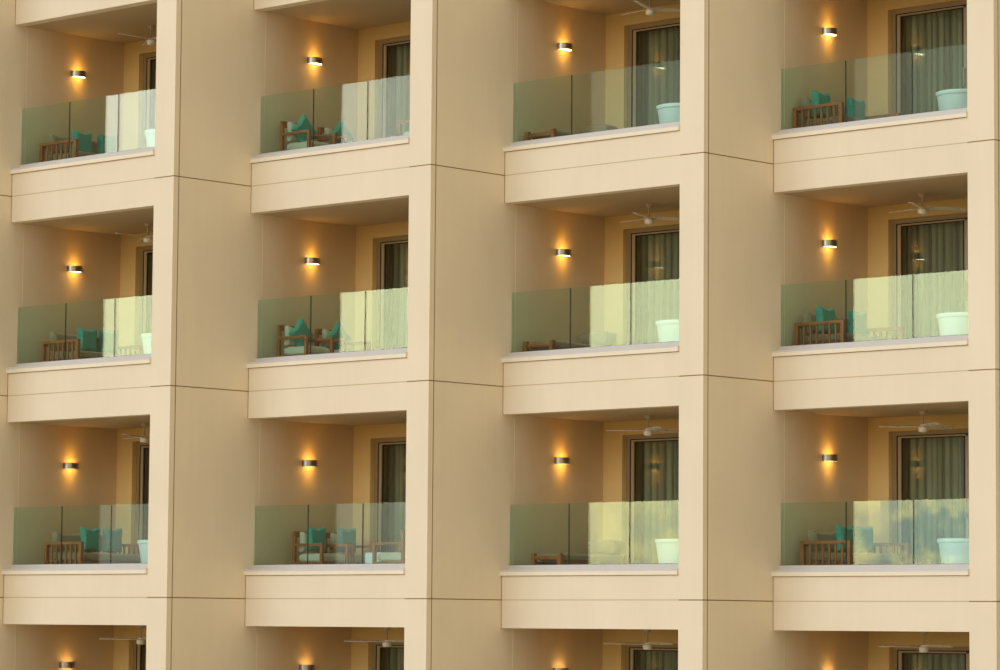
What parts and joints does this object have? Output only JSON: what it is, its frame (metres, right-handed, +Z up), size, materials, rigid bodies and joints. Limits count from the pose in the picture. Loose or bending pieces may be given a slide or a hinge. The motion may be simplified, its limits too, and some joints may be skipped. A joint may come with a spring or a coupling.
{
  "type": "hotel",
  "caption": "Hotel block with a stepped front of recessed balconies, glass balustrades, full-height piers and ceiling fans.",
  "frame": {"origin": "centre of the block's box on the ground", "axes": "+X along the bay fronts, +Y into the building, +Z up"},
  "size_m": [23.85, 18.47, 16.985],
  "materials": {
    "cream_render": "fine smooth render, cream",
    "concrete": "plain concrete",
    "coping_cream": "smooth cast cap, pale cream",
    "ceiling_paint": "matt painted plaster",
    "bronze_aluminium": "bronze coated, satin",
    "clear_glass": "clear float glass",
    "curtain_cloth": "grey green lined cloth",
    "white_metal": "white coated",
    "tinted_glass": "green edged safety glass",
    "satin_steel": "satin",
    "fan_metal": "off-white, satin",
    "oiled_wood": "oiled hardwood",
    "grey_cloth": "woven outdoor cloth",
    "cream_cloth": "woven outdoor cloth",
    "teal_cloth": "woven outdoor cloth",
    "tub_white": "smooth white"
  },
  "bodies": {
    "block": {"armchair_cushions": "cream_cloth", "armchair_frames": "oiled_wood", "back_wall_sides": "cream_render", "balcony_ceilings": "ceiling_paint", "balcony_copings": "coping_cream", "balcony_fascias": "cream_render", "balustrade_channels": "white_metal", "balustrade_glass": "tinted_glass", "cross_beams": "concrete", "curtains": "curtain_cloth", "daybed_frames": "oiled_wood", "daybed_mattresses": "grey_cloth", "door_frames": "bronze_aluminium", "door_glass": "clear_glass", "door_lintels": "cream_render", "end_wall_left": "cream_render", "end_wall_right": "cream_render", "fan_mounts": "fan_metal", "floor_slabs": "concrete", "ground_fascias": "cream_render", "pier_walls": "cream_render", "rear_pier_walls": "cream_render", "rear_spandrels": "cream_render", "rear_wall_strips": "cream_render", "rear_window_frames": "bronze_aluminium", "rear_window_glass": "clear_glass", "roof_copings": "coping_cream", "roof_fascias": "cream_render", "roof_slabs": "concrete", "scatter_cushions": "teal_cloth", "small_tables": "tub_white", "sofa_cushions": "grey_cloth", "sofa_frames": "oiled_wood", "tubs": "tub_white", "wall_lights": "satin_steel"},
    "fan_rotor_10": {"fan_rotor_10": "fan_metal"},
    "fan_rotor_20": {"fan_rotor_20": "fan_metal"},
    "fan_rotor_30": {"fan_rotor_30": "fan_metal"},
    "fan_rotor_40": {"fan_rotor_40": "fan_metal"},
    "fan_rotor_11": {"fan_rotor_11": "fan_metal"},
    "fan_rotor_31": {"fan_rotor_31": "fan_metal"},
    "fan_rotor_41": {"fan_rotor_41": "fan_metal"},
    "fan_rotor_12": {"fan_rotor_12": "fan_metal"},
    "fan_rotor_32": {"fan_rotor_32": "fan_metal"},
    "fan_rotor_42": {"fan_rotor_42": "fan_metal"},
    "fan_rotor_13": {"fan_rotor_13": "fan_metal"},
    "fan_rotor_33": {"fan_rotor_33": "fan_metal"},
    "fan_rotor_43": {"fan_rotor_43": "fan_metal"}
  },
  "joints": [
    {"name": "fan_spin_10", "type": "hinge", "parent": "block", "child": "fan_rotor_10", "pos_m": [-5.985, -4.495, 2.569], "axis": [0, 0, 1], "continuous": true},
    {"name": "fan_spin_20", "type": "hinge", "parent": "block", "child": "fan_rotor_20", "pos_m": [-2.085, -2.895, 2.569], "axis": [0, 0, 1], "continuous": true},
    {"name": "fan_spin_30", "type": "hinge", "parent": "block", "child": "fan_rotor_30", "pos_m": [1.815, -1.295, 2.569], "axis": [0, 0, 1], "continuous": true},
    {"name": "fan_spin_40", "type": "hinge", "parent": "block", "child": "fan_rotor_40", "pos_m": [5.715, 0.305, 2.569], "axis": [0, 0, 1], "continuous": true},
    {"name": "fan_spin_11", "type": "hinge", "parent": "block", "child": "fan_rotor_11", "pos_m": [-5.985, -4.495, 5.769], "axis": [0, 0, 1], "continuous": true},
    {"name": "fan_spin_31", "type": "hinge", "parent": "block", "child": "fan_rotor_31", "pos_m": [1.815, -1.295, 5.769], "axis": [0, 0, 1], "continuous": true},
    {"name": "fan_spin_41", "type": "hinge", "parent": "block", "child": "fan_rotor_41", "pos_m": [5.715, 0.305, 5.769], "axis": [0, 0, 1], "continuous": true},
    {"name": "fan_spin_12", "type": "hinge", "parent": "block", "child": "fan_rotor_12", "pos_m": [-5.985, -4.495, 8.969], "axis": [0, 0, 1], "continuous": true},
    {"name": "fan_spin_32", "type": "hinge", "parent": "block", "child": "fan_rotor_32", "pos_m": [1.815, -1.295, 8.969], "axis": [0, 0, 1], "continuous": true},
    {"name": "fan_spin_42", "type": "hinge", "parent": "block", "child": "fan_rotor_42", "pos_m": [5.715, 0.305, 8.969], "axis": [0, 0, 1], "continuous": true},
    {"name": "fan_spin_13", "type": "hinge", "parent": "block", "child": "fan_rotor_13", "pos_m": [-5.985, -4.495, 12.169], "axis": [0, 0, 1], "continuous": true},
    {"name": "fan_spin_33", "type": "hinge", "parent": "block", "child": "fan_rotor_33", "pos_m": [1.815, -1.295, 12.169], "axis": [0, 0, 1], "continuous": true},
    {"name": "fan_spin_43", "type": "hinge", "parent": "block", "child": "fan_rotor_43", "pos_m": [5.715, 0.305, 12.169], "axis": [0, 0, 1], "continuous": true}
  ]
}
